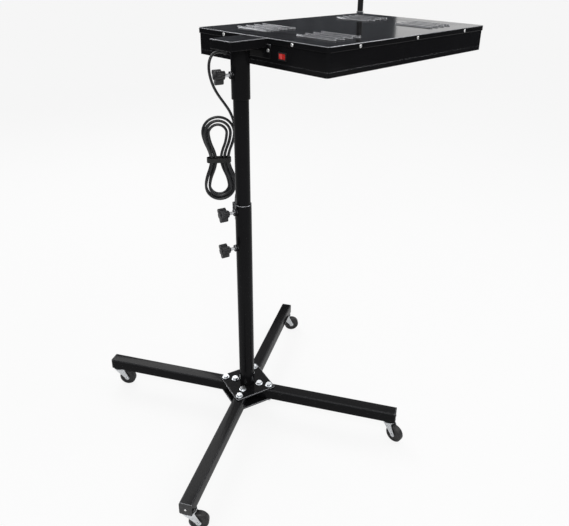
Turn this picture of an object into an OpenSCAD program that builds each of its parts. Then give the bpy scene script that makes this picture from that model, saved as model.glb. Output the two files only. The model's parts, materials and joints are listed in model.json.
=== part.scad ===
/* [Stand] */
// Length of each leg, from the post's axis to the face of its end cap
leg_reach = 435; // [380:5:500]
// Width and height of the square leg tube
leg_w = 32; // [28:1:38]
// Wall of the leg tube
leg_wall = 2; // [1.5:0.5:3]
// Side of the square hub plates
hub_w = 120; // [115:1:140]
// Thickness of a hub plate
hub_t = 4; // [3:0.5:6]
// Length of the lower tube above the hub
lower_tube_l = 565; // [480:5:650]
// Outer diameter of the lower tube
lower_tube_d = 42.4; // [42:0.2:46]
// Turn of the legs against the heater head, in degrees
leg_turn = 30; // [30:1:45]

/* [Casters] */
// Height of a caster, from the floor to the leg
caster_h = 60; // [54:1:68]
// Diameter of a caster wheel
wheel_d = 48; // [42:1:50]
// Width of a caster wheel
wheel_w = 18; // [14:1:20]
// Distance from the caster's swivel axis to its axle
trail = 22; // [18:1:25]

/* [Post] */
// Outer diameter of the inner tube
inner_tube_d = 38; // [34:0.5:38]
// Wall of the inner tube
inner_tube_wall = 2; // [1.5:0.5:3]
// Length of inner tube that shows between the lower tube and the sleeve
post_shown = 268; // [200:2:320]
// How far the head can be raised from there
raise_travel = 100; // [60:5:120]
// Length of the sleeve
sleeve_l = 135; // [110:5:160]
// Outer diameter of the sleeve
sleeve_d = 44.8; // [43:0.2:48]
// Length of a clamp knob's grip
knob_l = 25; // [20:1:27]
// Width across a clamp knob's lobes
knob_w = 40; // [36:1:42]

/* [Head] */
// Length of the housing
head_l = 648; // [560:4:720]
// Width of the housing
head_w = 444; // [400:4:500]
// Height of the head, from the housing's rim to the top of the lid
head_h = 66; // [62:1:80]
// Distance from the post's axis to the housing's side
head_gap = 52; // [48:1:70]
// Height of the lid's folded edge
lid_lip = 13; // [11:1:18]
// Thickness of the housing and lid sheet
sheet_t = 1.5; // [1:0.1:2]
// Width of the arm
arm_w = 74; // [66:1:84]
// Height of the arm
arm_h = 22; // [20:1:28]
// Length of the arm on the free side of the post
arm_tail = 58; // [50:1:66]
// Number of louvres in each of the lid's four groups
louvre_count = 4; // [3:1:5]
// Length of a louvre
louvre_l = 120; // [100:2:140]
// Number of quartz tubes
heater_count = 5; // [3:1:6]
// Length of the operator's handle
handle_l = 160; // [120:5:200]

/* [Lead] */
// Diameter of the mains lead
cord_d = 7; // [6:0.5:8]

/* [Hidden] */

// Overrun of every cut
cut = 1;
// Gap between pieces that slide, turn or lie loosely in each other
slip = 0.3;
fine = 48;
round = 28;

// Stand
leg_inner = 18;
leg_corner = 3;
leg_bottom = caster_h;
leg_top = leg_bottom + leg_w;
// Directions of legs a, b, c and d, seen from above
leg_dirs = [90 + leg_turn, 180 + leg_turn, leg_turn - 90, leg_turn];
cap_t = 2;
cap_depth = 14;
cap_screw_d = 6;
cap_screw_h = 1.6;
cap_pilot_d = 3;
plate_corner = 6;
hub_top = leg_top + hub_t;
hub_low = leg_bottom - hub_t;
hub_bolt_d = 10;
hub_bolt_near = 37;
hub_bolt_far = 66;
washer_d = 20;
washer_t = 1.6;
bolt_head_d = 16;
bolt_head_h = 5.5;
nut_h = 8;
bolt_tail = 2;

// Casters
race_d = 38;
race_t = 3;
stem_d = 8;
stem_up = 20;
stem_from_end = 18;
stem_r = leg_reach - stem_from_end;
crown_d = 32;
crown_t = 5;
crown_top = caster_h - race_t - slip;
rivet_d = 12;
rivet_h = 1.6;
prong_t = 2;
prong_r = 6.5;
prong_gap = 0.6;
prong_back = 11;
prong_front = 13;
axle_d = 5;
axle_head_d = 9;
axle_head_t = 1.6;
tyre_round = 3;
wheel_dish = 1.5;
wheel_hub_d = 14;
wheel_rim_d = 35;
axle_z = wheel_d / 2;
// Directions in which the casters trail at rest
trail_dirs = [-50, -45, -90, -40];

// Post
tube_bore = inner_tube_d + 2 * slip;
rim_z = hub_top + lower_tube_l;
sleeve_z = rim_z + post_shown;
sleeve_top = sleeve_z + sleeve_l;
tube_foot_gap = 12;
lower_travel = post_shown - 4 * slip;
tube_bottom = hub_top + tube_foot_gap + lower_travel;
tube_top = sleeve_top - slip;

// Clamp knobs
boss_d = 18;
boss_l = 6;
stud_d = 8;
stud_hole = stud_d + 2 * slip;
stud_shown = 15;
knob_dir = 165;
knob_hub_d = 23;
knob_lobe_d = 13;
knob_dome = 3;
knob_sink = 12;
upper_knob_z = rim_z - 20;
lower_knob_z = rim_z - 121;
head_knob_z = sleeve_z + 57;
stud_tip = inner_tube_d / 2 + slip;
knob_start = lower_tube_d / 2 + boss_l + stud_shown;

// Arm
arm_t = 3;
arm_top = sleeve_top + arm_t;
arm_end = head_gap - arm_t;
flange_w = 96;
flange_low = 46;
arm_screw_y = 41;
arm_screw_drop = 27;
arm_screw_d = 8;
arm_screw_h = 2.2;
arm_corner = 4;

// Head
head_top = arm_top;
head_low = head_top - head_h;
head_mid = head_gap + head_l / 2;
head_round = 7;
lid_gap = 0.8;
lid_over = lid_gap + sheet_t;
rim_under_lid = head_top - sheet_t - slip;
ledge_h = 10;
ledge_w = 12;
screw_d = 8;
screw_h = 2.4;
screw_drop = 7;
screw_side_y = 118;
screw_long_x = 221;

// Louvres
louvre_w = 11;
louvre_h = 3.5;
louvre_t = 1;
louvre_pitch = 29;
louvre_x = 195;
louvre_y = 107;

// Heater
insulation_t = 20;
insulation_gap = 1;
reflector_t = 1;
reflector_fold = 23;
reflector_side = slip;
quartz_d = 12;
quartz_bore = 9;
quartz_margin = 26;
core_d = quartz_bore - 2 * slip;
core_margin = 14;
holder_l = 14;
holder_w = 22;
guard_wire = 2.6;
guard_frame_t = 2.5;
guard_sides = 8;
guard_long = 15;
guard_cross = 6;
guard_gap = 1;
guard_touch = 0.05;

// Switch
switch_y = -86;
switch_drop = 36;
switch_l = 26;
switch_h = 19;
switch_rim = 2;
switch_in = 20;
switch_wall = 1.3;
switch_edge = 2;
rocker_depth = 6.5;
rocker_proud = 3.4;
rocker_dip = 1.6;
rocker_pin_d = 2.4;
rocker_pin_l = 0.7;
rocker_pivot = 2.5;

// Handle
handle_inset = 18;
handle_d = 18;
collar_d = 22;
collar_h = 8;

// Lead, with its route measured from the mouth of the gland
gland_y = 117;
gland_drop = 47;
gland_l = 14;
gland_d = 14;
gland_flange_d = 20;
gland_flange_t = 3;
gland_mouth = [head_gap - gland_flange_t - gland_l, gland_y, head_top - gland_drop];
feed_route = [
    [0, 0, 0], [-8, 0, 0], [-18, 0, -2], [-27, 0, -8], [-33, 0, -17], [-36, 0, -29],
    [-36, 0, -45], [-32, -1, -65], [-25, -3, -85], [-15, -7, -105], [-3, -13, -125],
    [8, -19, -145], [15, -23, -165]
];
// Middle of the hank, from the mouth of the gland
hank_place = [-16, 0, -275];
hank_turn = -35;
hank_run = 72;
hank_r = 42;
hank_step = 10;
hank_waist = 18;
hank_layer = 4.3;
hank_loops = 4;
run_rings = 6;
hank_middle = gland_mouth + hank_place;
tie_w = 12;
tie_t = 1.2;
tie_slack = 3.2;
tail_drop = 22;
relief_l = 26;
plug_l = 34;
plug_w = 25;
plug_t = 17;
plug_cut = 7;
pin_l = 17;
pin_w = 6;
pin_t = 1.6;
pin_space = 12.7;
earth_d = 4.8;
earth_off = 5;

// Where the post's axis stands, so that the object's box is centred on the origin
leg_out = leg_reach * cos(leg_turn) + leg_w / 2 * sin(leg_turn);
wheel_out = stem_r * cos(leg_turn) + trail + wheel_d / 2;
post_x = -(head_gap + head_l + lid_over + screw_h - leg_out) / 2;
post_y = (wheel_out - leg_out) / 2;

module at_post() { translate([post_x, post_y, 0]) children(); }
module at_leg(i) { at_post() rotate([0, 0, leg_dirs[i]]) children(); }
module at_caster(i) {
    at_leg(i) translate([stem_r, 0, 0]) rotate([0, 0, trail_dirs[i] - leg_dirs[i]]) children();
}
module at_knob(z) { at_post() translate([0, 0, z]) rotate([0, 0, knob_dir]) rotate([0, 90, 0]) children(); }
module tube(d, bore, h) {
    difference() {
        cylinder(d = d, h = h, $fn = fine);
        translate([0, 0, -cut]) cylinder(d = bore, h = h + 2 * cut, $fn = fine);
    }
}
// A rectangle with round corners, about its middle
module soft_square(w, h, r) {
    square([w - 2 * r, h], center = true);
    square([w, h - 2 * r], center = true);
    for (sx = [-1, 1], sy = [-1, 1])
        translate([sx * (w / 2 - r), sy * (h / 2 - r)]) circle(r = r, $fn = round);
}
module pan_head(d, h) {
    cylinder(d = d, h = h / 2, $fn = round);
    translate([0, 0, h / 2]) cylinder(d1 = d, d2 = d * 2 / 3, h = h / 2, $fn = round);
}

// Stand
module leg_shape(i) {
    color("#141416") at_leg(i) difference() {
        translate([leg_inner, 0, leg_bottom + leg_w / 2]) rotate([90, 0, 90]) difference() {
            linear_extrude(leg_reach - cap_t - leg_inner) soft_square(leg_w, leg_w, leg_corner);
            translate([0, 0, -cut]) linear_extrude(leg_reach)
                soft_square(leg_w - 2 * leg_wall, leg_w - 2 * leg_wall, leg_corner - leg_wall / 2);
        }
        for (r = [hub_bolt_near, hub_bolt_far]) translate([r, 0, leg_bottom - cut])
            cylinder(d = hub_bolt_d + 2 * slip, h = leg_w + 2 * cut, $fn = round);
        translate([stem_r, 0, leg_bottom - cut])
            cylinder(d = stem_d + 2 * slip, h = leg_wall + 2 * cut, $fn = round);
    }
}
module leg_a() { leg_shape(0); }
module leg_b() { leg_shape(1); }
module leg_c() { leg_shape(2); }
module leg_d() { leg_shape(3); }
module leg_caps() {
    inside = leg_w - 2 * leg_wall - 2 * slip;
    color("#1b1b1d") for (i = [0:3]) at_leg(i)
        translate([leg_reach - cap_t, 0, leg_bottom + leg_w / 2]) rotate([90, 0, 90]) difference() {
            union() {
                linear_extrude(cap_t) soft_square(leg_w, leg_w, leg_corner);
                translate([0, 0, -cap_depth + cap_t])
                    linear_extrude(cap_depth - cap_t) soft_square(inside, inside, leg_corner);
            }
            translate([0, 0, -cap_depth]) cylinder(d = cap_pilot_d, h = 2 * cap_depth, $fn = round);
        }
}
module cap_screws() {
    color("#dcdcd8") for (i = [0:3]) at_leg(i)
        translate([leg_reach, 0, leg_bottom + leg_w / 2]) rotate([0, 90, 0]) {
            pan_head(cap_screw_d, cap_screw_h);
            translate([0, 0, -cap_depth / 2])
                cylinder(d = cap_pilot_d - slip, h = cap_depth / 2, $fn = round);
        }
}
// Square plate turned so that its corners lie on the legs
module hub_plate(z) {
    color("#141416") at_post() translate([0, 0, z]) rotate([0, 0, leg_turn + 45]) difference() {
        linear_extrude(hub_t) soft_square(hub_w, hub_w, plate_corner);
        for (i = [0:3], r = [hub_bolt_near, hub_bolt_far])
            rotate([0, 0, 45 + 90 * i]) translate([r, 0, -cut])
                cylinder(d = hub_bolt_d + 2 * slip, h = hub_t + 2 * cut, $fn = round);
    }
}
module hub_plate_top() { hub_plate(leg_top); }
module hub_plate_bottom() { hub_plate(hub_low); }
module at_hub_bolts(z) {
    for (i = [0:3], r = [hub_bolt_near, hub_bolt_far]) at_leg(i) translate([r, 0, z]) children();
}
module hub_bolts() {
    shank = hub_top - hub_low + nut_h + washer_t + bolt_tail;
    color("#c9ccd0") at_hub_bolts(hub_top) {
        cylinder(d = washer_d, h = washer_t, $fn = round);
        translate([0, 0, washer_t]) cylinder(d = bolt_head_d, h = bolt_head_h, $fn = 6);
        translate([0, 0, -shank]) cylinder(d = hub_bolt_d, h = shank + washer_t, $fn = round);
    }
}
module hub_nuts() {
    color("#c9ccd0") at_hub_bolts(hub_low - washer_t - nut_h) difference() {
        union() {
            cylinder(d = bolt_head_d, h = nut_h, $fn = 6);
            translate([0, 0, nut_h]) cylinder(d = washer_d, h = washer_t, $fn = round);
        }
        translate([0, 0, -cut])
            cylinder(d = hub_bolt_d + slip, h = nut_h + washer_t + 2 * cut, $fn = round);
    }
}
module lower_tube() {
    color("#141416") difference() {
        at_post() translate([0, 0, hub_top]) tube(lower_tube_d, tube_bore, lower_tube_l);
        for (z = [upper_knob_z, lower_knob_z]) at_knob(z)
            cylinder(d = stud_hole, h = lower_tube_d, $fn = round);
    }
}
// Threaded boss, shaped to the tube that it is welded to
module boss_on(z, tube_d) {
    at_knob(z) difference() {
        cylinder(d = boss_d, h = lower_tube_d / 2 + boss_l, $fn = fine);
        translate([0, 0, -cut])
            cylinder(d = stud_hole, h = lower_tube_d / 2 + boss_l + 2 * cut, $fn = round);
        rotate([0, 90, 0]) cylinder(d = tube_d, h = 2 * boss_d, center = true, $fn = fine);
    }
}
module tube_bosses() {
    color("#141416") { boss_on(upper_knob_z, lower_tube_d); boss_on(lower_knob_z, lower_tube_d); }
}

// Casters
module caster_stems() {
    color("#c9ccd0") for (i = [0:3]) at_leg(i) translate([stem_r, 0, 0]) {
        translate([0, 0, caster_h - race_t]) cylinder(d = race_d, h = race_t, $fn = fine);
        translate([0, 0, crown_top - crown_t - slip]) cylinder(
            d = stem_d, h = stem_up + race_t + crown_t + 2 * slip, $fn = round);
        translate([0, 0, crown_top - crown_t - slip - rivet_h])
            cylinder(d = rivet_d, h = rivet_h, $fn = round);
    }
}
module fork_shape(i) {
    inside = wheel_w / 2 + prong_gap;
    color("#c9ccd0") at_caster(i) difference() {
        union() {
            translate([0, 0, crown_top - crown_t]) cylinder(d = crown_d, h = crown_t, $fn = fine);
            for (s = [-1, 1]) translate([0, s * (inside + prong_t / 2) + prong_t / 2, 0])
                rotate([90, 0, 0]) linear_extrude(prong_t) {
                    polygon([[-prong_back, crown_top - slip], [-prong_back, crown_top - crown_t],
                        [trail - prong_r, axle_z], [trail + prong_r, axle_z],
                        [prong_front, crown_top - slip]]);
                    translate([trail, axle_z]) circle(r = prong_r, $fn = round);
                }
        }
        translate([0, 0, crown_top - crown_t - cut])
            cylinder(d = stem_d + 2 * slip, h = crown_t + 2 * cut, $fn = round);
        translate([trail, 0, axle_z]) rotate([90, 0, 0])
            cylinder(d = axle_d + slip, h = wheel_w * 2, center = true, $fn = round);
    }
}
module axle_shape(i) {
    half = wheel_w / 2 + prong_gap + prong_t;
    color("#c9ccd0") at_caster(i) translate([trail, 0, axle_z]) rotate([90, 0, 0]) {
        cylinder(d = axle_d, h = 2 * half, center = true, $fn = round);
        for (s = [0, 1]) mirror([0, 0, s]) translate([0, 0, half]) pan_head(axle_head_d, axle_head_t);
    }
}
module wheel_shape(i) {
    bore = axle_d / 2 + slip;
    half = wheel_w / 2;
    color("#1c1c1e") at_caster(i) translate([trail, 0, axle_z]) rotate([90, 0, 0]) rotate_extrude($fn = 64) {
        polygon([[bore, -half], [wheel_hub_d / 2, -half], [wheel_hub_d / 2, -half + wheel_dish],
            [wheel_rim_d / 2, -half + wheel_dish], [wheel_rim_d / 2, -half],
            [wheel_d / 2 - tyre_round, -half], [wheel_d / 2, -half + tyre_round],
            [wheel_d / 2, half - tyre_round], [wheel_d / 2 - tyre_round, half],
            [wheel_rim_d / 2, half], [wheel_rim_d / 2, half - wheel_dish],
            [wheel_hub_d / 2, half - wheel_dish], [wheel_hub_d / 2, half], [bore, half]]);
    }
}
module fork_a() { fork_shape(0); }
module fork_b() { fork_shape(1); }
module fork_c() { fork_shape(2); }
module fork_d() { fork_shape(3); }
module axle_a() { axle_shape(0); }
module axle_b() { axle_shape(1); }
module axle_c() { axle_shape(2); }
module axle_d() { axle_shape(3); }
module wheel_a() { wheel_shape(0); }
module wheel_b() { wheel_shape(1); }
module wheel_c() { wheel_shape(2); }
module wheel_d() { wheel_shape(3); }

// Post and clamp knobs
module inner_tube() {
    color("#1a1a1c") at_post() translate([0, 0, tube_bottom])
        tube(inner_tube_d, inner_tube_d - 2 * inner_tube_wall, tube_top - tube_bottom);
}
module knob_shape(z) {
    lobe_r = (knob_w - knob_lobe_d) / 2;
    color("#202022") at_knob(z) translate([0, 0, knob_start]) difference() {
        union() {
            cylinder(d1 = knob_hub_d * 0.8, d2 = knob_hub_d, h = knob_l - knob_dome, $fn = fine);
            translate([0, 0, knob_l - knob_dome])
                cylinder(d1 = knob_hub_d, d2 = knob_hub_d * 0.7, h = knob_dome, $fn = fine);
            for (a = [0, 120, 240]) rotate([0, 0, a]) {
                translate([lobe_r, 0, knob_dome])
                    cylinder(d = knob_lobe_d, h = knob_l - 2 * knob_dome, $fn = round);
                translate([0, -knob_lobe_d / 2, knob_dome])
                    cube([lobe_r, knob_lobe_d, knob_l - 2 * knob_dome]);
            }
        }
        translate([0, 0, -cut]) cylinder(d = stud_d + slip, h = knob_sink + cut, $fn = round);
    }
}
module stud_shape(z) {
    color("#d6d9dd") at_knob(z) translate([0, 0, stud_tip])
        cylinder(d = stud_d, h = knob_start + knob_sink - slip - stud_tip, $fn = round);
}
module head_knob() { knob_shape(head_knob_z); }
module upper_knob() { knob_shape(upper_knob_z); }
module lower_knob() { knob_shape(lower_knob_z); }
module head_stud() { stud_shape(head_knob_z); }
module upper_stud() { stud_shape(upper_knob_z); }
module lower_stud() { stud_shape(lower_knob_z); }
module sleeve() {
    color("#141416") difference() {
        at_post() translate([0, 0, sleeve_z]) tube(sleeve_d, tube_bore, sleeve_l);
        at_knob(head_knob_z) cylinder(d = stud_hole, h = sleeve_d, $fn = round);
    }
}
module sleeve_boss() { color("#141416") boss_on(head_knob_z, sleeve_d); }

// Arm: a folded channel, open below, with a flange on the housing
module mounting_arm() {
    length = arm_end + arm_tail;
    color("#141416") at_post() translate([arm_end - length / 2, 0, arm_top - arm_h]) difference() {
        linear_extrude(arm_h) union() {
            soft_square(length, arm_w, arm_corner);
            translate([length / 4, 0]) square([length / 2, arm_w], center = true);
        }
        translate([0, 0, -cut]) linear_extrude(arm_h - arm_t + cut)
            square([length - 2 * arm_t, arm_w - 2 * arm_t], center = true);
    }
}
module arm_flange() {
    color("#141416") at_post() translate([arm_end, 0, 0]) difference() {
        translate([0, -flange_w / 2, head_top - flange_low])
            cube([arm_t, flange_w, flange_low - lid_lip - slip]);
        for (s = [-1, 1]) translate([-cut, s * arm_screw_y, head_top - arm_screw_drop])
            rotate([0, 90, 0]) cylinder(d = arm_screw_d / 2 + slip, h = arm_t + 2 * cut, $fn = round);
    }
}
module arm_screws() {
    color("#dcdcd8") at_post() for (s = [-1, 1])
        translate([arm_end, s * arm_screw_y, head_top - arm_screw_drop]) rotate([0, -90, 0]) {
            pan_head(arm_screw_d, arm_screw_h);
            translate([0, 0, -arm_t - sheet_t])
                cylinder(d = arm_screw_d / 2 - slip, h = arm_t + sheet_t, $fn = round);
        }
}

// Head
module at_head(z) { at_post() translate([head_mid, 0, z]) children(); }
module lid_screw_places() {
    at_post() translate([0, 0, head_top - screw_drop]) {
        for (s = [-1, 1], e = [0, 1]) translate([head_mid, s * screw_side_y, 0])
            rotate([0, 0, 180 * e]) translate([-head_l / 2 - lid_over, 0, 0])
                rotate([0, -90, 0]) children();
        for (x = [-1, 0, 1], s = [-1, 1])
            translate([head_mid + x * screw_long_x, s * (head_w / 2 + lid_over), 0])
                rotate([-90 * s, 0, 0]) children();
    }
}
module housing() {
    inner_l = head_l - 2 * sheet_t;
    inner_w = head_w - 2 * sheet_t;
    color("#131315") difference() {
        at_head(head_low) difference() {
            linear_extrude(rim_under_lid - head_low) soft_square(head_l, head_w, head_round);
            translate([0, 0, ledge_h + sheet_t])
                linear_extrude(head_h) soft_square(inner_l, inner_w, head_round - sheet_t);
            translate([0, 0, -cut])
                linear_extrude(ledge_h + cut) soft_square(inner_l, inner_w, head_round - sheet_t);
            translate([0, 0, -cut]) linear_extrude(head_h)
                square([inner_l - 2 * ledge_w, inner_w - 2 * ledge_w], center = true);
        }
        lid_screw_places() translate([0, 0, -screw_d]) cylinder(d = screw_d / 2, h = screw_d, $fn = round);
        at_post() {
            for (s = [-1, 1]) translate([arm_end, s * arm_screw_y, head_top - arm_screw_drop])
                rotate([0, 90, 0]) cylinder(d = arm_screw_d / 2 + slip, h = 2 * arm_t, $fn = round);
            translate([head_gap - cut, switch_y - switch_l / 2 + switch_edge - slip,
                head_top - switch_drop - switch_h / 2 + switch_edge - slip])
                cube([sheet_t + 2 * cut, switch_l - 2 * switch_edge + 2 * slip,
                    switch_h - 2 * switch_edge + 2 * slip]);
            translate([head_gap - cut, gland_y, head_top - gland_drop])
                rotate([0, 90, 0]) cylinder(d = gland_d, h = sheet_t + 2 * cut, $fn = round);
        }
    }
}
// One pressed louvre: a long hood with round ends, open along one side
module louvre_hood() {
    flat = louvre_l - louvre_w;
    linear_extrude(louvre_h) {
        square([louvre_w, flat], center = true);
        for (s = [-1, 1]) translate([0, s * flat / 2]) circle(d = louvre_w, $fn = round);
    }
}
module louvre_cut() {
    flat = louvre_l - louvre_w;
    translate([0, 0, (louvre_h - louvre_t - sheet_t - cut) / 2])
        cube([louvre_w - 2 * louvre_t, flat, louvre_h - louvre_t + sheet_t + cut], center = true);
    translate([louvre_w / 2, 0, (louvre_h - louvre_t) / 2])
        cube([louvre_w, flat, louvre_h - louvre_t], center = true);
}
module at_louvres() {
    for (sx = [-1, 1], sy = [-1, 1], k = [0:louvre_count - 1])
        translate([sx * louvre_x + (k - (louvre_count - 1) / 2) * louvre_pitch, sy * louvre_y, 0])
            children();
}
module lid() {
    outer_l = head_l + 2 * lid_over;
    outer_w = head_w + 2 * lid_over;
    color("#131315") difference() {
        at_head(head_top) difference() {
            union() {
                translate([0, 0, -lid_lip])
                    linear_extrude(lid_lip) soft_square(outer_l, outer_w, head_round + lid_over);
                at_louvres() louvre_hood();
            }
            translate([0, 0, -lid_lip - cut]) linear_extrude(lid_lip - sheet_t + cut)
                soft_square(outer_l - 2 * sheet_t, outer_w - 2 * sheet_t, head_round + lid_gap);
            at_louvres() louvre_cut();
        }
        lid_screw_places() translate([0, 0, -screw_d / 2])
            cylinder(d = screw_d / 2 + slip, h = screw_d, $fn = round);
    }
}
module lid_screws() {
    color("#dcdcd8") lid_screw_places() {
        pan_head(screw_d, screw_h);
        translate([0, 0, -lid_over - sheet_t])
            cylinder(d = screw_d / 2 - slip, h = lid_over + sheet_t, $fn = round);
    }
}

// Heater, from the lid down: insulation, reflector, quartz tubes and guard
reflector_top = rim_under_lid - insulation_gap - insulation_t - slip;
quartz_z = reflector_top - reflector_t - quartz_d;
module insulation() {
    color("#d9d4c4") at_head(reflector_top + slip) linear_extrude(insulation_t)
        soft_square(head_l - 2 * (sheet_t + reflector_side + switch_in),
            head_w - 2 * (sheet_t + reflector_side), head_round);
}
module reflector() {
    outer_l = head_l - 2 * (sheet_t + reflector_side + switch_in);
    outer_w = head_w - 2 * (sheet_t + reflector_side);
    color("#b9bcc0") at_head(reflector_top - reflector_fold) difference() {
        linear_extrude(reflector_fold) soft_square(outer_l, outer_w, head_round);
        translate([0, 0, -cut]) linear_extrude(reflector_fold - reflector_t + cut)
            soft_square(outer_l - 2 * reflector_t, outer_w - 2 * reflector_t, head_round - reflector_t);
    }
}
quartz_l = head_l - 2 * (sheet_t + reflector_side + switch_in + reflector_t + quartz_margin);
heater_pitch = head_w / heater_count;
module at_heaters() {
    at_head(quartz_z) for (k = [0:heater_count - 1])
        translate([0, (k - (heater_count - 1) / 2) * heater_pitch, 0]) rotate([0, 90, 0]) children();
}
module quartz_tubes() {
    color("#e9e4dc") at_heaters() translate([0, 0, -quartz_l / 2]) tube(quartz_d, quartz_bore, quartz_l);
}
module heating_cores() {
    color("#6b5f57") at_heaters()
        cylinder(d = core_d, h = quartz_l - 2 * core_margin, center = true, $fn = round);
}
// Ceramic blocks that hold the ends of the quartz tubes under the reflector
module tube_holders() {
    high = quartz_d + reflector_t;
    color("#efece4") at_heaters() for (s = [-1, 1]) translate([0, 0, s * (quartz_l / 2 - holder_l / 2)])
        difference() {
            translate([-quartz_d + slip, -holder_w / 2, -holder_l / 2])
                cube([high + quartz_d / 2, holder_w, holder_l]);
            cylinder(d = quartz_d + 2 * slip, h = holder_l + 2 * cut, center = true, $fn = round);
        }
}
guard_l = head_l - 2 * (sheet_t + guard_gap);
guard_w = head_w - 2 * (sheet_t + guard_gap);
module at_guard(z) { at_head(head_low + ledge_h + sheet_t + z) children(); }
module guard_frame() {
    color("#a9acb0") at_guard(0) linear_extrude(guard_frame_t) difference() {
        soft_square(guard_l, guard_w, head_round - sheet_t);
        square([guard_l - 2 * ledge_w, guard_w - 2 * ledge_w], center = true);
    }
}
// Long wires on the frame, and cross wires on the long ones
module wire_guard() {
    step_y = (guard_w - 2 * ledge_w) / (guard_long + 1);
    step_x = (guard_l - 2 * ledge_w) / (guard_cross + 1);
    color("#a9acb0") at_guard(guard_frame_t + guard_wire / 2 + guard_touch) {
        for (k = [1:guard_long]) translate([0, -guard_w / 2 + ledge_w + k * step_y, 0])
            rotate([0, 90, 0]) rotate(180 / guard_sides)
                cylinder(d = guard_wire, h = guard_l - ledge_w, center = true, $fn = guard_sides);
        for (k = [1:guard_cross]) translate([-guard_l / 2 + ledge_w + k * step_x, 0, guard_wire + guard_touch])
            rotate([90, 0, 0]) rotate(180 / guard_sides)
                cylinder(d = guard_wire, h = guard_w - ledge_w, center = true, $fn = guard_sides);
    }
}

// Switch, seen from the front: x runs out of the housing, y along it and z up
module at_switch() {
    at_post() translate([head_gap, switch_y, head_top - switch_drop]) rotate([0, 0, 180]) children();
}
module switch_body() {
    in_l = switch_l - 2 * switch_edge;
    in_h = switch_h - 2 * switch_edge;
    color("#26262a") at_switch() difference() {
        union() {
            translate([0, -switch_l / 2, -switch_h / 2]) cube([switch_rim, switch_l, switch_h]);
            translate([-switch_in, -in_l / 2, -in_h / 2]) cube([switch_in, in_l, in_h]);
        }
        translate([-switch_in + switch_wall, -in_l / 2 + switch_wall, -in_h / 2 + switch_wall])
            cube([switch_in + switch_rim, in_l - 2 * switch_wall, in_h - 2 * switch_wall]);
        translate([-rocker_pivot, 0, 0])
            cylinder(d = rocker_pin_d + 2 * slip, h = in_h - 2 * switch_wall + 2 * rocker_pin_l + 2 * slip,
                center = true, $fn = round);
    }
}
module switch_rocker() {
    half = switch_l / 2 - switch_edge - switch_wall - 3 * slip;
    high = switch_h - 2 * switch_edge - 2 * switch_wall - 2 * slip;
    color("#c8281e") at_switch() {
        translate([0, 0, -high / 2]) linear_extrude(high) polygon([
            [rocker_proud, -half], [rocker_proud - rocker_dip, 0], [rocker_proud, half],
            [-rocker_pivot, half], [-rocker_pivot - rocker_depth / 2, half / 2],
            [-rocker_pivot - rocker_depth / 2, -half / 2], [-rocker_pivot, -half]]);
        translate([-rocker_pivot, 0, 0])
            cylinder(d = rocker_pin_d, h = high + 2 * slip + 2 * rocker_pin_l, center = true, $fn = round);
    }
}

// Handle at the far corner of the lid
module at_handle(z) {
    at_post() translate([head_gap + head_l - handle_inset, head_w / 2 - handle_inset, z]) children();
}
module handle_collar() { color("#d6d9dd") at_handle(head_top) cylinder(d = collar_d, h = collar_h, $fn = fine); }
module handle_rod() {
    color("#1c1c1e") at_handle(head_top + collar_h) {
        cylinder(d = handle_d, h = handle_l - handle_d / 2, $fn = fine);
        translate([0, 0, handle_l - handle_d / 2]) sphere(d = handle_d, $fn = fine);
    }
}

// Sweeping a round section along points
function unit(v) = v / norm(v);
function heading(p, i) = i == 0 ? unit(p[1] - p[0]) : i == len(p) - 1 ? unit(p[i] - p[i - 1])
    : unit(unit(p[i + 1] - p[i]) + unit(p[i] - p[i - 1]));
function squared(u, t) = unit(u - (u * t) * t);
function carried(p, i, u) = i >= len(p) ? []
    : let (v = squared(u, heading(p, i))) concat([v], carried(p, i + 1, v));
module swept(p, d, sides) {
    first = heading(p, 0);
    across = carried(p, 0, abs(first[1]) < 0.9 ? [0, 1, 0] : [1, 0, 0]);
    rings = [for (i = [0:len(p) - 1], k = [0:sides - 1])
        p[i] + d / 2 * (cos(360 * k / sides) * across[i]
            + sin(360 * k / sides) * cross(heading(p, i), across[i]))];
    last = (len(p) - 1) * sides;
    faces = concat(
        [for (k = [1:sides - 2]) [0, k, k + 1]],
        [for (k = [1:sides - 2]) [last, last + k + 1, last + k]],
        [for (i = [0:len(p) - 2], k = [0:sides - 1])
            [i * sides + k, (i + 1) * sides + k, (i + 1) * sides + (k + 1) % sides]],
        [for (i = [0:len(p) - 2], k = [0:sides - 1])
            [i * sides + k, (i + 1) * sides + (k + 1) % sides, i * sides + (k + 1) % sides]]);
    polyhedron(points = rings, faces = faces);
}

// Hank: long loops that spiral in through one layer and out again through the next
loop_rings = 4 * run_rings;
hank_rings = hank_loops * loop_rings + run_rings;
function hank_spread(j) = hank_r - hank_step * (hank_loops / 2 - abs(j / loop_rings - hank_loops / 2));
// Depth: the second layer starts along the run after the spiral turns back
function hank_depth(j) = hank_layer * max(-1, min(1, 2 * (j - hank_rings / 2) / run_rings));
function drawn_in(z) = hank_waist * (1 + cos(180 * z / hank_run)) / 2;
function hank_point(j) = let (
    r = hank_spread(j), q = j % loop_rings, y = hank_depth(j),
    s = q < run_rings ? q / run_rings : q < 2 * run_rings ? q / run_rings - 1
        : q < 3 * run_rings ? q / run_rings - 2 : q / run_rings - 3,
    z = hank_run * (1 - 2 * s))
    q < run_rings ? [r - drawn_in(z), y, z]
    : q < 2 * run_rings ? [r * cos(180 * s), y, -hank_run - r * sin(180 * s)]
    : q < 3 * run_rings ? [-r + drawn_in(z), y, -z]
    : [-r * cos(180 * s), y, hank_run + r * sin(180 * s)];
function turned(p) = [p[0] * cos(hank_turn) - p[1] * sin(hank_turn),
    p[0] * sin(hank_turn) + p[1] * cos(hank_turn), p[2]];
hank_local = [for (j = [0:hank_rings]) hank_point(j)];
hank_points = concat([hank_local[0] + [0, 0, cord_d]], hank_local,
    [hank_local[hank_rings] - [0, 0, cord_d]]);
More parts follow.
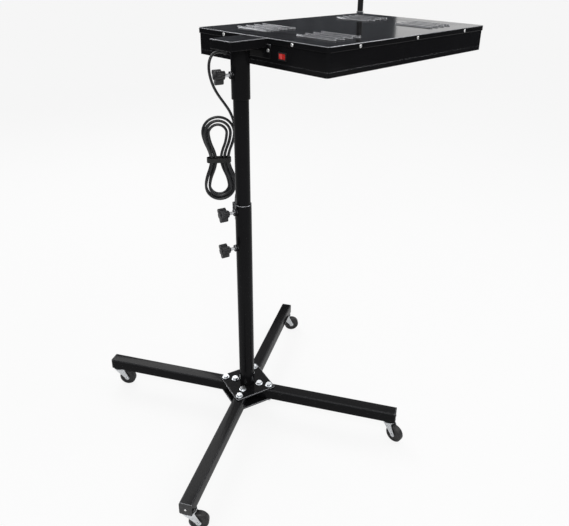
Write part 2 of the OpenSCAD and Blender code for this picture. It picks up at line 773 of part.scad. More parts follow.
hank_path = [for (p = hank_points) hank_middle + turned(p)];
hank_start = hank_path[0];
hank_end = hank_path[len(hank_path) - 1];
// Points that are a good way apart along the lead and close to each other
loop_gaps = [for (i = [1:hank_rings + 1], j = [i + 6:1:hank_rings + 1]) norm(hank_path[i] - hank_path[j])];
echo(least_gap_in_hank = min(loop_gaps) - cord_d);

feed_path = concat([for (p = feed_route) gland_mouth + p],
    [hank_start + [0, 0, 2 * cord_d], hank_start + [0, 0, cord_d], hank_start]);
tail_path = [hank_end, hank_end - [0, 0, cord_d], hank_end - [0, 0, tail_drop - cord_d],
    hank_end - [0, 0, tail_drop]];
function run_length(p) = [for (i = [1:len(p) - 1]) norm(p[i] - p[i - 1])] * [for (i = [1:len(p) - 1]) 1];
echo(lead_length = run_length(feed_path) + run_length(hank_path) + run_length(tail_path));

module feed_cord() { color("#1a1a1a") at_post() swept(feed_path, cord_d, 8); }
module hank() { color("#1a1a1a") at_post() swept(hank_path, cord_d, 6); }
module tail_cord() { color("#1a1a1a") at_post() swept(tail_path, cord_d, 8); }
module cord_gland() {
    color("#1a1a1a") at_post() translate([head_gap, gland_y, head_top - gland_drop]) rotate([0, -90, 0]) {
        translate([0, 0, -sheet_t]) cylinder(d = gland_d - slip, h = sheet_t + slip, $fn = round);
        cylinder(d = gland_flange_d, h = gland_flange_t, $fn = round);
        translate([0, 0, gland_flange_t])
            cylinder(d1 = gland_d, d2 = cord_d + 2, h = gland_l, $fn = round);
    }
}
// Flat strap round the hank's waist
module cord_tie() {
    wide = hank_r - hank_waist + cord_d / 2 + tie_slack;
    deep = hank_layer + cord_d / 2 + tie_slack;
    color("#111111") at_post() translate(hank_middle) rotate([0, 0, hank_turn])
        translate([0, 0, -tie_w / 2]) linear_extrude(tie_w) difference() {
            soft_square(2 * (wide + tie_t), 2 * (deep + tie_t), deep);
            soft_square(2 * wide, 2 * deep, deep - tie_t);
        }
}
plug_place = hank_end - [0, 0, tail_drop + relief_l];
module at_plug() { at_post() translate(plug_place) rotate([0, 0, hank_turn]) children(); }
module strain_relief() {
    color("#2a2a2c") at_plug() cylinder(d1 = cord_d * 2, d2 = cord_d + 2, h = relief_l, $fn = round);
}
module plug_body() {
    color("#2a2a2c") at_plug() rotate([180, 0, 0]) difference() {
        linear_extrude(plug_l) soft_square(plug_w, plug_t, plug_t / 3);
        for (s = [-1, 1]) translate([s * plug_w / 2, 0, plug_l / 3]) rotate([0, 45, 0])
            cube([plug_cut / 2, plug_t * 2, plug_cut / 2], center = true);
    }
}
module plug_pins() {
    color("#c9ccd0") at_plug() translate([0, 0, -plug_l]) rotate([180, 0, 0]) {
        for (s = [-1, 1]) translate([s * pin_space / 2 - pin_t / 2, -pin_w / 2 - earth_off / 2, 0])
            cube([pin_t, pin_w, pin_l]);
        translate([0, earth_off, 0]) cylinder(d = earth_d, h = pin_l + pin_t, $fn = round);
    }
}

lower_tube();
tube_bosses();
hub_plate_top();
hub_plate_bottom();
leg_a();
leg_b();
leg_c();
leg_d();
leg_caps();
cap_screws();
hub_bolts();
hub_nuts();
caster_stems();
fork_a();
fork_b();
fork_c();
fork_d();
axle_a();
axle_b();
axle_c();
axle_d();
wheel_a();
wheel_b();
wheel_c();
wheel_d();
inner_tube();
head_knob();
upper_knob();
lower_knob();
head_stud();
upper_stud();
lower_stud();
sleeve();
sleeve_boss();
mounting_arm();
arm_flange();
arm_screws();
housing();
lid();
lid_screws();
reflector();
insulation();
quartz_tubes();
heating_cores();
tube_holders();
guard_frame();
wire_guard();
switch_body();
switch_rocker();
cord_gland();
handle_collar();
handle_rod();
feed_cord();
hank();
cord_tie();
tail_cord();
strain_relief();
plug_body();
plug_pins();
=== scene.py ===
"""Looks of a screen printing flash dryer: gloss black heater head on a clamped post with a cross of legs."""
import json
import math

import bmesh
import bpy
from mathutils import Matrix, Vector


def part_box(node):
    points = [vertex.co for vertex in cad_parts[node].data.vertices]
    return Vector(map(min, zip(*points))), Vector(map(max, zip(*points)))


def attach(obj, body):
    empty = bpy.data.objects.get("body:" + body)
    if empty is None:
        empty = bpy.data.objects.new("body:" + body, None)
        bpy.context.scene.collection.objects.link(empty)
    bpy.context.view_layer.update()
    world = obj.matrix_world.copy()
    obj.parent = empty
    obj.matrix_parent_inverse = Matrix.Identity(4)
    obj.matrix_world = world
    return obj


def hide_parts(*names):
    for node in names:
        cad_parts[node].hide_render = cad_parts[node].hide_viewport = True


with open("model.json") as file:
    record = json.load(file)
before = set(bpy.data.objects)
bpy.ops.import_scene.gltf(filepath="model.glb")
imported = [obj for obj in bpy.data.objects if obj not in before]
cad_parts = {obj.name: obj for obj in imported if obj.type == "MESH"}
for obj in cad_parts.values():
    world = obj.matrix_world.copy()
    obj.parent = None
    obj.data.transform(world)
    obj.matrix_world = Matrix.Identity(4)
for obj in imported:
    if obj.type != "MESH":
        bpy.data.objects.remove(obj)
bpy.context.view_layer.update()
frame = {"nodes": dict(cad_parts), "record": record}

bl_info = {
    "name": "Screen printing flash dryer",
    "version": (1, 0, 0),
    "blender": (4, 5, 0),
    "location": "View3D > Sidebar > Flash dryer",
    "description": "Finishes, mains lead, clamp knobs and stage of a flash dryer",
    "category": "Object",
}

MM = 0.001
BODY_OF = {node: body for body, nodes in frame["record"]["behaviour"]["bodies"].items() for node in nodes}

# The post's axis and the arm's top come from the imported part
TUBE_LOW, TUBE_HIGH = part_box("inner_tube")
ARM_LOW, ARM_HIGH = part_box("mounting_arm")
POST = Vector(((TUBE_LOW.x + TUBE_HIGH.x) / 2, (TUBE_LOW.y + TUBE_HIGH.y) / 2, 0))
ARM_TOP = ARM_HIGH.z

# The photograph's frame in pixels, the lens that fits it, and the camera's place from the post's foot
PHOTO_WIDTH_PX = 569
FOCAL_PX = 587.7
CENTRE_OFF_PX = (8.6, -49.1)
SENSOR_MM = 36
CAMERA_SPOT = (-889.8, -1053.1, 1245.3)
CAMERA_TURN, CAMERA_TIP, CAMERA_ROLL = (math.radians(a) for a in (-45.476, -23.989, 0.906))

# The stage, in metres: floor, ring of dark screens with its gap, and lamps as name, place, size, share of power
FLOOR_REACH = 30
SCREEN_MIDDLE = Vector((-0.9, -0.9, 0))
SCREEN_RADIUS = 6
SCREEN_HEIGHT = 3.2
SCREEN_START, SCREEN_STEP, SCREEN_POSTS = 35, 5, 68
LAMPS = (
    ("softbox", (-1.6, -1.9, 2.6), 1.2, 1),
    ("fill", (1.8, -1.6, 2.4), 1.6, 0.5),
    ("rim", (0.6, 2.2, 2.4), 1.4, 0.7),
)
LAMP_AIM = Vector((0, 0, 0.7))

# Angles above which an edge is rounded or creased, and one below which two faces count as flat
ROUNDED_OVER = math.radians(40)
CREASED_OVER = math.radians(20)
FLAT_UNDER = math.radians(0.5)
WELD = 1e-6


class Signal:
    """One output of a node tree, which takes part in sums, differences and products."""

    def __init__(self, shading, socket):
        self.shading = shading
        self.socket = socket

    def _maths(self, operation, first, second):
        return self.shading.node("ShaderNodeMath", {"operation": operation}, {0: first, 1: second})

    def __add__(self, other):
        return self._maths("ADD", self, other)

    def __sub__(self, other):
        return self._maths("SUBTRACT", self, other)

    def __rsub__(self, other):
        return self._maths("SUBTRACT", other, self)

    def __mul__(self, other):
        return self._maths("MULTIPLY", self, other)

    __radd__ = __add__
    __rmul__ = __mul__


class Shading:
    """A node tree of a material or the world, and the one way to add a node to it."""

    def __init__(self, owner, output):
        owner.use_nodes = True
        self.tree = owner.node_tree
        self.tree.nodes.clear()
        self.output = self.tree.nodes.new(output)

    def node(self, kind, settings=None, sockets=None, output=0):
        """Adds a node with its settings first and then its sockets, and returns one of its outputs."""
        made = self.tree.nodes.new(kind)
        for name, value in (settings or {}).items():
            if name == "stops":
                self._set_stops(made.color_ramp, value)
            else:
                setattr(made, name, value)
        for name, value in (sockets or {}).items():
            self._feed(made.inputs[name], value)
        return Signal(self, made.outputs[output])

    def _set_stops(self, ramp, stops):
        while len(ramp.elements) < len(stops):
            ramp.elements.new(1)
        for element, (place, level) in zip(ramp.elements, stops):
            element.position = place
            element.color = (level, level, level, 1)

    def _feed(self, socket, value):
        if isinstance(value, Signal):
            self.tree.links.new(value.socket, socket)
        elif socket.type == "RGBA":
            socket.default_value = (*value, 1)
        else:
            socket.default_value = value

    def show(self, surface):
        """Sends a shader to the tree's output."""
        self._feed(self.output.inputs["Surface"], surface)

    def light_path(self, kind):
        return self.node("ShaderNodeLightPath", output=kind)


class Finish(Shading):
    """A procedural material with one Principled shader."""

    def __init__(self, name):
        self.material = bpy.data.materials.new(name)
        super().__init__(self.material, "ShaderNodeOutputMaterial")
        self.shader = self.node("ShaderNodeBsdfPrincipled")
        self.show(self.shader)

    def set(self, **sockets):
        """Sets sockets of the shader, whose names are written with _ for a space."""
        for name, value in sockets.items():
            self._feed(self.shader.socket.node.inputs[name.replace("_", " ")], value)

    def place(self, stretch=(1, 1, 1)):
        """Object coordinates in metres, stretched along each axis."""
        where = self.node("ShaderNodeTexCoord", output="Object")
        return self.node("ShaderNodeVectorMath", {"operation": "MULTIPLY"}, {0: where, 1: stretch})

    def noise(self, scale, detail=3, roughness=0.55, stretch=(1, 1, 1)):
        return self.node("ShaderNodeTexNoise", None, {
            "Vector": self.place(stretch), "Scale": scale, "Detail": detail, "Roughness": roughness})

    def ramp(self, signal, *stops):
        return self.node("ShaderNodeValToRGB", {"stops": stops}, {"Fac": signal})

    def mix(self, amount, first, second):
        """Colour between first and second."""
        return self.node("ShaderNodeMix", {"data_type": "RGBA"}, {"Factor": amount, 6: first, 7: second}, 2)

    def bump(self, height, depth, strength=1.0, **normal):
        return self.node("ShaderNodeBump", None, {
            "Height": height, "Distance": depth, "Strength": strength, **normal})

    def clamp(self, signal):
        return self.node("ShaderNodeClamp", None, {"Value": signal})

    def height_of(self, vector):
        """The upward part of a vector, between 0 and 1."""
        return self.clamp(self.node("ShaderNodeSeparateXYZ", None, {0: vector}, 2))

    def facing_up(self):
        """1 on level faces that look up, 0 on upright ones."""
        return self.height_of(self.node("ShaderNodeNewGeometry", output="Normal"))

    def eased_normal(self, radius):
        """The surface's direction with its edges rounded off."""
        return self.node("ShaderNodeBevel", {"samples": 6}, {"Radius": radius})

    def upper_edges(self, eased, sharpness, lift):
        """1 along the edges that look up, which get a painted highlight; lift takes in steeper edges."""
        flat = self.node("ShaderNodeNewGeometry", output="True Normal")
        along = self.node("ShaderNodeVectorMath", {"operation": "DOT_PRODUCT"}, {0: flat, 1: eased}, "Value")
        return self.clamp((1 - along) * sharpness) * self.clamp(self.height_of(eased) * lift)


def gloss_enamel(look):
    """Baked black enamel: a deep gloss with faint orange peel, handling marks, a little dust and a painted
    highlight along the upper edges.
    """
    f = Finish("gloss_enamel")
    clouds = f.noise(9, 4)
    fine_marks = f.ramp(f.noise(160, 5, 0.7), (0.45, 0), (0.75, 1))
    dust = f.ramp(f.noise(900, 2, 0.8), (0.62, 0), (0.7, 1)) * f.facing_up() * 0.35
    black = f.mix(clouds, look.enamel, [c * 1.7 for c in look.enamel])
    eased = f.eased_normal(look.highlighted)
    # Painted highlight: the upward edges are mixed to a light grey and made partly metallic, standing in for the
    # light they catch.
    highlighted = f.upper_edges(eased, sharpness=6, lift=2.5)
    black = f.mix(highlighted * 0.9, black, look.painted_edge_highlight)
    f.set(Base_Color=f.mix(dust, black, look.dust), Metallic=highlighted * 0.8)
    f.set(Roughness=fine_marks * 0.05 + clouds * 0.05 + 0.07 + dust * 0.3, IOR=look.enamel_ior)
    f.set(Normal=f.bump(f.noise(420, 2), 0.00012, 0.35, Normal=eased))
    return f.material


def moulded_plastic(name, colour, roughness):
    """Moulded plastic with a fine spark-eroded grain and slightly shinier worn patches."""
    f = Finish(name)
    grains = f.noise(700, 3, 0.65)
    worn = f.ramp(f.noise(40, 4), (0.45, 0), (0.7, 1))
    f.set(Base_Color=f.mix(worn * 0.5, colour, [min(1, c * 1.8 + 0.004) for c in colour]))
    f.set(Roughness=roughness + grains * 0.12 - worn * 0.1, IOR=1.46)
    f.set(Normal=f.bump(grains, 0.0001, 0.6))
    return f.material


def plated(name, colour, roughness, stain=0.25):
    """Plated steel: a fine tooled grain, cloudy reflections and a few dull stains."""
    f = Finish(name)
    lines = f.noise(600, 3, 0.6)
    stains = f.ramp(f.noise(55, 5, 0.6), (0.5, 0), (0.72, 1))
    f.set(Base_Color=f.mix(stains * stain, colour, [c * 0.5 for c in colour]), Metallic=1.0)
    f.set(Roughness=roughness + lines * 0.12 + stains * 0.2)
    f.set(Normal=f.bump(lines, 0.00006, 0.5))
    return f.material


def tyre_rubber(look):
    """Hard caster rubber, greyer and rougher where it has rolled through dust."""
    f = Finish("tyre_rubber")
    dusty = f.ramp(f.noise(130, 5, 0.7), (0.4, 0), (0.75, 1))
    f.set(Base_Color=f.mix(dusty * 0.2, look.rubber, (0.1, 0.098, 0.095)), Roughness=dusty * 0.25 + 0.42)
    f.set(Normal=f.bump(f.noise(800, 3, 0.7), 0.00012, 0.7), IOR=1.5)
    return f.material


def lead_sheath(look):
    """Flexible lead sheath with a slight drawn texture and a soft shine."""
    f = Finish("lead_sheath")
    scuffs = f.ramp(f.noise(220, 4, 0.7), (0.5, 0), (0.8, 1))
    f.set(Base_Color=f.mix(scuffs * 0.4, look.sheath, [c * 2.4 for c in look.sheath]))
    f.set(Roughness=0.34 + scuffs * 0.18, IOR=1.5)
    f.set(Normal=f.bump(f.noise(500, 2), 0.00015, 0.5))
    return f.material


def rolled_aluminium():
    """Bright rolled sheet with long rolling lines and heat-tinted clouds."""
    f = Finish("rolled_aluminium")
    rolled = f.noise(260, 3, 0.6, (0.05, 1, 1))
    tint = f.ramp(f.noise(7, 4), (0.4, 0), (0.8, 1))
    f.set(Base_Color=f.mix(tint * 0.5, (0.78, 0.79, 0.8), (0.62, 0.52, 0.38)), Metallic=1.0)
    f.set(Roughness=0.22 + rolled * 0.2, Normal=f.bump(rolled, 0.0001, 0.6))
    return f.material


def mineral_wool():
    """Pressed mineral wool: matted fibres in a dull cream."""
    f = Finish("mineral_wool")
    fibres = f.noise(900, 6, 0.8, (1, 0.25, 1))
    f.set(Base_Color=f.mix(fibres, (0.5, 0.44, 0.33), (0.78, 0.73, 0.6)), Roughness=0.92)
    f.set(Normal=f.bump(fibres, 0.0008, 1.0))
    return f.material


def milky_quartz():
    """Frosted quartz with faint warm streaks along the tube."""
    f = Finish("milky_quartz")
    streaks = f.noise(300, 3, 0.6, (0.04, 1, 1))
    f.set(Base_Color=f.mix(streaks, (0.86, 0.84, 0.8), (0.7, 0.66, 0.6)), Roughness=streaks * 0.15 + 0.22)
    f.set(IOR=1.46, Coat_Weight=0.5, Coat_Roughness=0.1)
    return f.material


def steatite():
    """Fired ceramic: chalky white with tiny pits."""
    f = Finish("steatite")
    pits = f.ramp(f.noise(1400, 2), (0.3, 0), (0.42, 1))
    f.set(Base_Color=f.mix(pits, (0.6, 0.57, 0.5), (0.84, 0.82, 0.76)), Roughness=0.55 + pits * 0.2)
    f.set(Normal=f.bump(pits, 0.0002, 0.6))
    return f.material


def heated_core():
    """Oxidised resistance wire, seen as close brown windings."""
    f = Finish("heated_core")
    windings = f.node("ShaderNodeTexWave", {"wave_type": "BANDS", "bands_direction": "X"}, {
        "Vector": f.place(), "Scale": 120, "Distortion": 0.6})
    f.set(Base_Color=f.mix(windings, (0.05, 0.035, 0.028), (0.28, 0.2, 0.15)), Metallic=0.8)
    f.set(Roughness=0.6 - windings * 0.2, Normal=f.bump(windings, 0.0006, 1.0))
    return f.material


def lamp_red(look):
    """Red button plastic, cloudy under a smooth clear skin."""
    f = Finish("lamp_red")
    depth = f.noise(180, 3)
    f.set(Base_Color=f.mix(depth, look.button, [c * 0.55 for c in look.button]), Roughness=depth * 0.1 + 0.14)
    f.set(Coat_Weight=0.6, Coat_Roughness=0.05, IOR=1.5)
    return f.material


class FinishSettings(bpy.types.PropertyGroup):
    """Colours and edges of the finishes"""
    enamel: bpy.props.FloatVectorProperty(
        name="Enamel", description="Colour of the baked enamel",
        subtype="COLOR", default=(0.0045, 0.0045, 0.005))
    # Colour of the painted highlight along the upper edges
    painted_edge_highlight: bpy.props.FloatVectorProperty(
        name="Edge highlight", description="Colour of the rubbed upper edges",
        subtype="COLOR", default=(0.6, 0.61, 0.64))
    dust: bpy.props.FloatVectorProperty(
        name="Dust", description="Colour of the dust on level faces",
        subtype="COLOR", default=(0.12, 0.115, 0.11))
    plastic: bpy.props.FloatVectorProperty(
        name="Plastic", description="Colour of knobs, caps and handle",
        subtype="COLOR", default=(0.012, 0.012, 0.013))
    rubber: bpy.props.FloatVectorProperty(
        name="Rubber", description="Colour of the caster wheels",
        subtype="COLOR", default=(0.01, 0.01, 0.011))
    sheath: bpy.props.FloatVectorProperty(
        name="Sheath", description="Colour of the mains lead",
        subtype="COLOR", default=(0.012, 0.0125, 0.014))
    zinc: bpy.props.FloatVectorProperty(
        name="Zinc", description="Colour of the plated steel",
        subtype="COLOR", default=(0.72, 0.74, 0.76))
    button: bpy.props.FloatVectorProperty(
        name="Button", description="Colour of the switch's rocker",
        subtype="COLOR", default=(0.72, 0.03, 0.025))
    enamel_ior: bpy.props.FloatProperty(
        name="Enamel index", description="Refractive index of the enamel, which sets its shine", default=1.16)
    # Width of the band along the upper edges that gets the painted highlight, also the radius of their rounded
    # normal
    highlighted: bpy.props.FloatProperty(
        name="Highlight width", description="Width of the rubbed upper edges", unit="LENGTH", default=0.0032)
    edge: bpy.props.FloatProperty(
        name="Edge", description="Radius of the folded and ground edges", unit="LENGTH", default=0.0009)


class LeadSettings(bpy.types.PropertyGroup):
    """Sizes of the mains lead and its hank"""
    diameter: bpy.props.FloatProperty(
        name="Diameter", description="Diameter of the mains lead", unit="LENGTH", default=0.007)
    hank_run: bpy.props.FloatProperty(
        name="Half run", description="Half the length of a straight run in the hank", unit="LENGTH", default=0.072)
    hank_radius: bpy.props.FloatProperty(
        name="Outer radius", description="Radius of the hank's outer folds", unit="LENGTH", default=0.042)
    hank_loops: bpy.props.IntProperty(name="Loops", description="Loops in the hank", default=4)


class StageSettings(bpy.types.PropertyGroup):
    """Floor and light of the stage"""
    floor: bpy.props.FloatVectorProperty(
        name="Floor", description="Colour of the floor",
        subtype="COLOR", default=(0.9, 0.9, 0.9))
    whiteness: bpy.props.FloatProperty(
        name="Whiteness", description="Share of plain white in the floor as the camera sees it", default=0.84)
    daylight: bpy.props.FloatProperty(
        name="Daylight", description="Strength of the light from all round", default=0.55)
    softbox: bpy.props.FloatProperty(
        name="Softbox", description="Power of the large lamp", unit="POWER", default=32)


def look():
    return bpy.context.scene.dryer_finish


def new_object(name, mesh, finish, body):
    """Links a mesh as a piece with one finish that rides on a body."""
    piece = bpy.data.objects.new(name, mesh)
    bpy.context.scene.collection.objects.link(piece)
    piece.data.materials.clear()
    piece.data.materials.append(finish)
    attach(piece, body)
    return piece


def smooth_by_angle(mesh):
    """Smooth shading with creases at the sharp edges."""
    work = bmesh.new()
    work.from_mesh(mesh)
    for face in work.faces:
        face.smooth = True
    for edge in work.edges:
        edge.smooth = len(edge.link_faces) == 2 and edge.calc_face_angle(0) < CREASED_OVER
    work.to_mesh(mesh)
    work.free()


def rounded_copy(node, finish, radius, segments=2):
    """A copy of a part's node with its sharp edges rounded, which stands for that node."""
    source = frame["nodes"][node]
    mesh = source.data.copy()
    mesh.transform(source.matrix_world)
    work = bmesh.new()
    work.from_mesh(mesh)
    bmesh.ops.remove_doubles(work, verts=work.verts, dist=WELD)
    bmesh.ops.dissolve_limit(work, angle_limit=FLAT_UNDER, verts=work.verts, edges=work.edges)
    work.to_mesh(mesh)
    work.free()
    piece = new_object(node + "_finished", mesh, finish, BODY_OF[node])
    if radius > 0:
        bevel = piece.modifiers.new("edges", "BEVEL")
        bevel.width = radius
        bevel.segments = segments
        bevel.limit_method = "ANGLE"
        bevel.angle_limit = ROUNDED_OVER
        graph = bpy.context.evaluated_depsgraph_get()
        piece.data = bpy.data.meshes.new_from_object(piece.evaluated_get(graph))
        piece.modifiers.clear()
        piece.data.materials.clear()
        piece.data.materials.append(finish)
    smooth_by_angle(piece.data)
    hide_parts(node)
    return piece


def finish_nodes(nodes, finish, radius=0.0, segments=2):
    """Rounds and finishes several nodes alike."""
    for node in nodes:
        rounded_copy(node, finish, radius, segments)


class DRYER_OT_stage(bpy.types.Operator):
    """Adds the camera of the photograph, a pale floor and soft light"""
    bl_idname = "dryer.stage"
    bl_label = "Camera, floor and light"

    def execute(self, context):
        stage = context.scene.dryer_stage
        self.add_camera(context)
        self.add_floor(context, stage)
        self.add_dark_screens(context)
        self.add_light(context, stage)
        return {"FINISHED"}

    def add_camera(self, context):
        camera = bpy.data.objects.new("photo_camera", bpy.data.cameras.new("photo_camera"))
        context.scene.collection.objects.link(camera)
        camera.data.sensor_width = SENSOR_MM
        camera.data.lens = FOCAL_PX * SENSOR_MM / PHOTO_WIDTH_PX
        camera.data.shift_x = -CENTRE_OFF_PX[0] / PHOTO_WIDTH_PX
        camera.data.shift_y = CENTRE_OFF_PX[1] / PHOTO_WIDTH_PX
        camera.data.clip_end = 50
        right = Vector((math.cos(CAMERA_TURN), math.sin(CAMERA_TURN), 0))
        level = Vector((-right.y, right.x, 0))
        ahead = level * math.cos(CAMERA_TIP) + Vector((0, 0, math.sin(CAMERA_TIP)))
        above = right.cross(ahead)
        side = math.cos(CAMERA_ROLL) * right + math.sin(CAMERA_ROLL) * above
        up = math.cos(CAMERA_ROLL) * above - math.sin(CAMERA_ROLL) * right
        spot = POST + Vector(CAMERA_SPOT) * MM
        camera.matrix_world = Matrix.Translation(spot) @ Matrix((side, up, -ahead)).transposed().to_4x4()
        context.scene.camera = camera

    def add_backdrop(self, context, name, corners, faces, finish):
        """Adds a surface of the stage."""
        mesh = bpy.data.meshes.new(name)
        mesh.from_pydata(corners, [], faces)
        mesh.materials.append(finish)
        backdrop = bpy.data.objects.new(name, mesh)
        context.scene.collection.objects.link(backdrop)
        return backdrop

    def add_floor(self, context, stage):
        f = Finish("floor_paint")
        f.set(Base_Color=f.mix(f.noise(3), stage.floor, [c * 0.985 for c in stage.floor]))
        f.set(Roughness=0.85, Specular_IOR_Level=0.1)
        white = f.node("ShaderNodeEmission", None, {"Color": (1, 1, 1), "Strength": 1})
        amount = f.light_path("Is Camera Ray") * stage.whiteness
        f.show(f.node("ShaderNodeMixShader", None, {0: amount, 1: f.shader, 2: white}))
        corners = [(x * FLOOR_REACH, y * FLOOR_REACH, 0) for x, y in ((-1, -1), (1, -1), (1, 1), (-1, 1))]
        self.add_backdrop(context, "floor", corners, [(0, 1, 2, 3)], f.material)

    def add_dark_screens(self, context):
        """Adds a ring of dark screens that only reflections meet, with a gap that shines in the lid."""
        f = Finish("screen_cloth")
        folds = f.noise(2.5, 2, 0.5, (1, 1, 0.1))
        f.set(Base_Color=f.mix(folds, (0.02, 0.022, 0.026), (0.16, 0.17, 0.19)), Roughness=0.9)
        turns = [math.radians(SCREEN_START + SCREEN_STEP * k) for k in range(SCREEN_POSTS)]
        feet = [SCREEN_MIDDLE + Vector((math.cos(t), math.sin(t), 0)) * SCREEN_RADIUS for t in turns]
        heads = [foot + Vector((0, 0, SCREEN_HEIGHT)) for foot in feet]
        faces = [(k, k + 1, k + 1 + SCREEN_POSTS, k + SCREEN_POSTS) for k in range(SCREEN_POSTS - 1)]
        screens = self.add_backdrop(context, "dark_screen", feet + heads, faces, f.material)
        for kind in ("camera", "diffuse", "transmission", "volume_scatter", "shadow"):
            setattr(screens, "visible_" + kind, False)

    def add_light(self, context, stage):
        scene = context.scene
        scene.view_settings.view_transform = "Standard"
        scene.world = bpy.data.worlds.new("studio")
        room = Shading(scene.world, "ShaderNodeOutputWorld")
        shown = room.light_path("Is Camera Ray")
        for kind in ("Is Glossy Ray", "Is Transmission Ray"):
            shown = room.node("ShaderNodeMath", {"operation": "MAXIMUM"}, {0: shown, 1: room.light_path(kind)})
        light, white = (room.node("ShaderNodeBackground", None, {"Color": (1, 1, 1), "Strength": strength})
                        for strength in (stage.daylight, 1))
        room.show(room.node("ShaderNodeMixShader", None, {0: shown, 1: light, 2: white}))
        for name, place, size, share in LAMPS:
            lamp = bpy.data.objects.new(name, bpy.data.lights.new(name, "AREA"))
            lamp.data.size = size
            lamp.data.energy = stage.softbox * share
            lamp.location = place
            lamp.rotation_euler = (LAMP_AIM - Vector(place)).to_track_quat("-Z", "Y").to_euler()
            scene.collection.objects.link(lamp)


# Route of the mains lead from the mouth of its gland, in millimetres
FEED_ROUTE = [
    (0, 0, 0), (-8, 0, 0), (-18, 0, -2), (-27, 0, -8), (-33, 0, -17), (-36, 0, -29),
    (-36, 0, -45), (-32, -1, -65), (-25, -3, -85), (-15, -7, -105), (-3, -13, -125),
    (8, -19, -145), (15, -23, -165),
]
GLAND_LENGTH = 17
GLAND_SIDE = 117
GLAND_DROP = 47
HOUSING_GAP = 52
HANK_PLACE = (-16, 0, -275)
HANK_TURN = -35
HANK_STEP = 10
HANK_WAIST = 18
HANK_LAYER = 4.3
RUN_RINGS = 6
TAIL_DROP = 22


def hank_points(run, radius, loops):
    """Points along the hank, about its own middle: runs and folds that spiral in, climb and spiral out."""
    per_loop = 4 * RUN_RINGS
    last = loops * per_loop + RUN_RINGS
    points = []
    for j in range(last + 1):
        r = radius - HANK_STEP * (loops / 2 - abs(j / per_loop - loops / 2))
        quarter, ring = divmod(j % per_loop, RUN_RINGS)
        share = ring / RUN_RINGS
        deep = HANK_LAYER * max(-1, min(1, 2 * (j - last / 2) / RUN_RINGS))
        z = run * (1 - 2 * share)
        waist = HANK_WAIST * (1 + math.cos(math.pi * z / run)) / 2
        turn = math.pi * share
        points.append(Vector((
            (r - waist, deep, z), (r * math.cos(turn), deep, -run - r * math.sin(turn)),
            (waist - r, deep, -z), (-r * math.cos(turn), deep, run + r * math.sin(turn)))[quarter]))
    spin = Matrix.Rotation(math.radians(HANK_TURN), 3, "Z")
    return [spin @ p for p in points]


def lead_route(lead):
    """The whole lead, from the gland to the plug's strain relief, in metres in the part's frame."""
    mouth = POST + Vector((HOUSING_GAP - GLAND_LENGTH, GLAND_SIDE, 0)) * MM
    mouth.z = ARM_TOP - GLAND_DROP * MM
    width = lead.diameter / MM
    middle = Vector(HANK_PLACE)
    coil = [middle + p for p in hank_points(lead.hank_run / MM, lead.hank_radius / MM, lead.hank_loops)]
    drop = Vector((0, 0, 1))
    route = [Vector(p) for p in FEED_ROUTE]
    route += [coil[0] + drop * width * k for k in (3, 2, 1)]
    route += coil
    route += [coil[-1] - drop * width * k for k in (1, 2)]
    route.append(coil[-1] - drop * (width + TAIL_DROP))
    return [mouth + p * MM for p in route]


def smoothed(points, parts=3):
    """A Catmull-Rom curve through the points."""
    ends = [points[0] * 2 - points[1], *points, points[-1] * 2 - points[-2]]
    curve = []
    for a, b, c, d in zip(ends, ends[1:], ends[2:], ends[3:]):
        for k in range(parts):
            t = k / parts
            curve.append(0.5 * (2 * b + (c - a) * t + (2 * a - 5 * b + 4 * c - d) * t ** 2
                                + (3 * b - a - 3 * c + d) * t ** 3))
    return curve + [points[-1]]


class DRYER_OT_lead(bpy.types.Operator):
    """Adds the mains lead as one sheathed tube with its hank, tie and plug"""
    bl_idname = "dryer.lead"
    bl_label = "Mains lead"

    def execute(self, context):
        lead = context.scene.dryer_lead
        points = smoothed(lead_route(lead))
        curve = bpy.data.curves.new("mains_lead", "CURVE")
        curve.dimensions = "3D"
        curve.bevel_depth = lead.diameter / 2
        curve.bevel_resolution = 5
        curve.use_fill_caps = True
        spline = curve.splines.new("POLY")
        spline.points.add(len(points) - 1)
        for point, place in zip(spline.points, points):
            point.co = (*place, 1)
        spline.use_smooth = True
        cord = bpy.data.objects.new("mains_lead", curve)
        context.scene.collection.objects.link(cord)
        curve.materials.append(lead_sheath(look()))
        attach(cord, "head")
        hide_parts("feed_cord", "hank", "tail_cord")
        length = sum((b - a).length for a, b in zip(points, points[1:]))
        moulding = moulded_plastic("plug_moulding", (0.016, 0.017, 0.019), 0.4)
        pieces = [rounded_copy(node, moulding, 0.0008) for node in ("strain_relief", "plug_body")]
        pieces.append(rounded_copy("plug_pins", plated("nickel", (0.78, 0.77, 0.74), 0.16), 0.0004))
        pieces.append(rounded_copy("cord_tie", moulded_plastic("tie_strap", (0.01, 0.01, 0.01), 0.5), 0.0003))
        finish_nodes(["cord_gland"], moulded_plastic("gland_rubber", (0.014, 0.014, 0.015), 0.45), 0.0006)
        return {"FINISHED"}


class DRYER_OT_enamelled(bpy.types.Operator):
    """Finishes the enamelled stand, post, arm, housing and lid"""
    bl_idname = "dryer.enamelled"
    bl_label = "Enamelled steel"

    def execute(self, context):
        enamel = gloss_enamel(look())
        edge = look().edge
        finish_nodes(["leg_a", "leg_b", "leg_c", "leg_d", "arm_flange", "mounting_arm",
                      "hub_plate_top", "hub_plate_bottom"], enamel, edge)
        finish_nodes(["lower_tube", "inner_tube", "sleeve", "tube_bosses", "sleeve_boss",
                      "housing", "lid"], enamel, edge / 2)
        return {"FINISHED"}


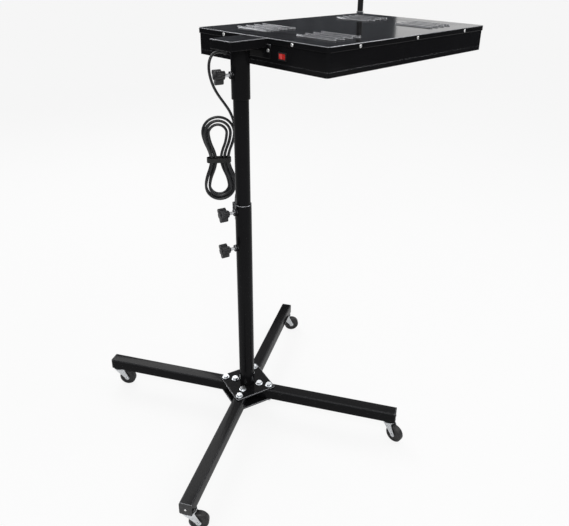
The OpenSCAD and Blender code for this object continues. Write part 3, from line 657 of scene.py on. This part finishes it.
class DRYER_OT_hardware(bpy.types.Operator):
    """Finishes the plated bolts, screws, studs and caster forks"""
    bl_idname = "dryer.hardware"
    bl_label = "Plated hardware"

    def execute(self, context):
        zinc = plated("bright_zinc", look().zinc, 0.2)
        chrome = plated("polished_chrome", (0.82, 0.83, 0.85), 0.05, stain=0.08)
        finish_nodes(["hub_bolts", "hub_nuts", "caster_stems"], zinc, 0.0004)
        finish_nodes([f"{part}_{leg}" for part in ("fork", "axle") for leg in "abcd"], zinc, 0.0003)
        finish_nodes(["head_stud", "upper_stud", "lower_stud", "handle_collar"], chrome, 0.0005)
        pale = plated("pale_zinc", (0.86, 0.86, 0.85), 0.25)
        finish_nodes(["cap_screws", "arm_screws", "lid_screws"], pale, 0.0003)
        return {"FINISHED"}


class DRYER_OT_grips(bpy.types.Operator):
    """Finishes the clamp knobs, handle, end caps and caster wheels"""
    bl_idname = "dryer.grips"
    bl_label = "Knobs, handle and wheels"

    def execute(self, context):
        plastic = moulded_plastic("black_moulding", look().plastic, 0.34)
        finish_nodes(["head_knob", "upper_knob", "lower_knob"], plastic, 0.0014, 3)
        finish_nodes(["handle_rod", "leg_caps"], plastic, 0.0006)
        finish_nodes([f"wheel_{leg}" for leg in "abcd"], tyre_rubber(look()), 0.0006)
        return {"FINISHED"}


class DRYER_OT_heater(bpy.types.Operator):
    """Finishes the reflector, insulation, quartz tubes, holders and guard"""
    bl_idname = "dryer.heater"
    bl_label = "Heater"

    def execute(self, context):
        finish_nodes(["reflector"], rolled_aluminium())
        finish_nodes(["insulation"], mineral_wool())
        finish_nodes(["quartz_tubes"], milky_quartz())
        finish_nodes(["heating_cores"], heated_core())
        finish_nodes(["tube_holders"], steatite(), 0.0006)
        finish_nodes(["guard_frame", "wire_guard"], plated("guard_wire", (0.6, 0.6, 0.6), 0.24))
        return {"FINISHED"}


class DRYER_OT_switch(bpy.types.Operator):
    """Finishes the switch body and its red rocker"""
    bl_idname = "dryer.switch"
    bl_label = "Switch"

    def execute(self, context):
        finish_nodes(["switch_body"], moulded_plastic("switch_black", look().plastic, 0.3), 0.0005)
        finish_nodes(["switch_rocker"], lamp_red(look()), 0.0005)
        return {"FINISHED"}


STEPS = (DRYER_OT_stage, DRYER_OT_lead, DRYER_OT_enamelled, DRYER_OT_hardware, DRYER_OT_grips,
         DRYER_OT_heater, DRYER_OT_switch)


class DRYER_PT_panel(bpy.types.Panel):
    """Lists the settings and the steps"""
    bl_label = "Flash dryer"
    bl_idname = "DRYER_PT_panel"
    bl_space_type = "VIEW_3D"
    bl_region_type = "UI"
    bl_category = "Flash dryer"

    def draw(self, context):
        layout = self.layout
        for group in ("dryer_finish", "dryer_lead", "dryer_stage"):
            settings = getattr(context.scene, group)
            for name in settings.__annotations__:
                layout.prop(settings, name)
        for step in STEPS:
            layout.operator(step.bl_idname)


CLASSES = (FinishSettings, LeadSettings, StageSettings, *STEPS, DRYER_PT_panel)
GROUPS = {"dryer_finish": FinishSettings, "dryer_lead": LeadSettings, "dryer_stage": StageSettings}


def register():
    for item in CLASSES:
        bpy.utils.register_class(item)
    for name, group in GROUPS.items():
        setattr(bpy.types.Scene, name, bpy.props.PointerProperty(type=group))


def unregister():
    for name in GROUPS:
        delattr(bpy.types.Scene, name)
    for item in reversed(CLASSES):
        bpy.utils.unregister_class(item)


def main():
    register()
    for step in STEPS:
        area, name = step.bl_idname.split(".")
        getattr(getattr(bpy.ops, area), name)()


if __name__ == "__main__":
    main()
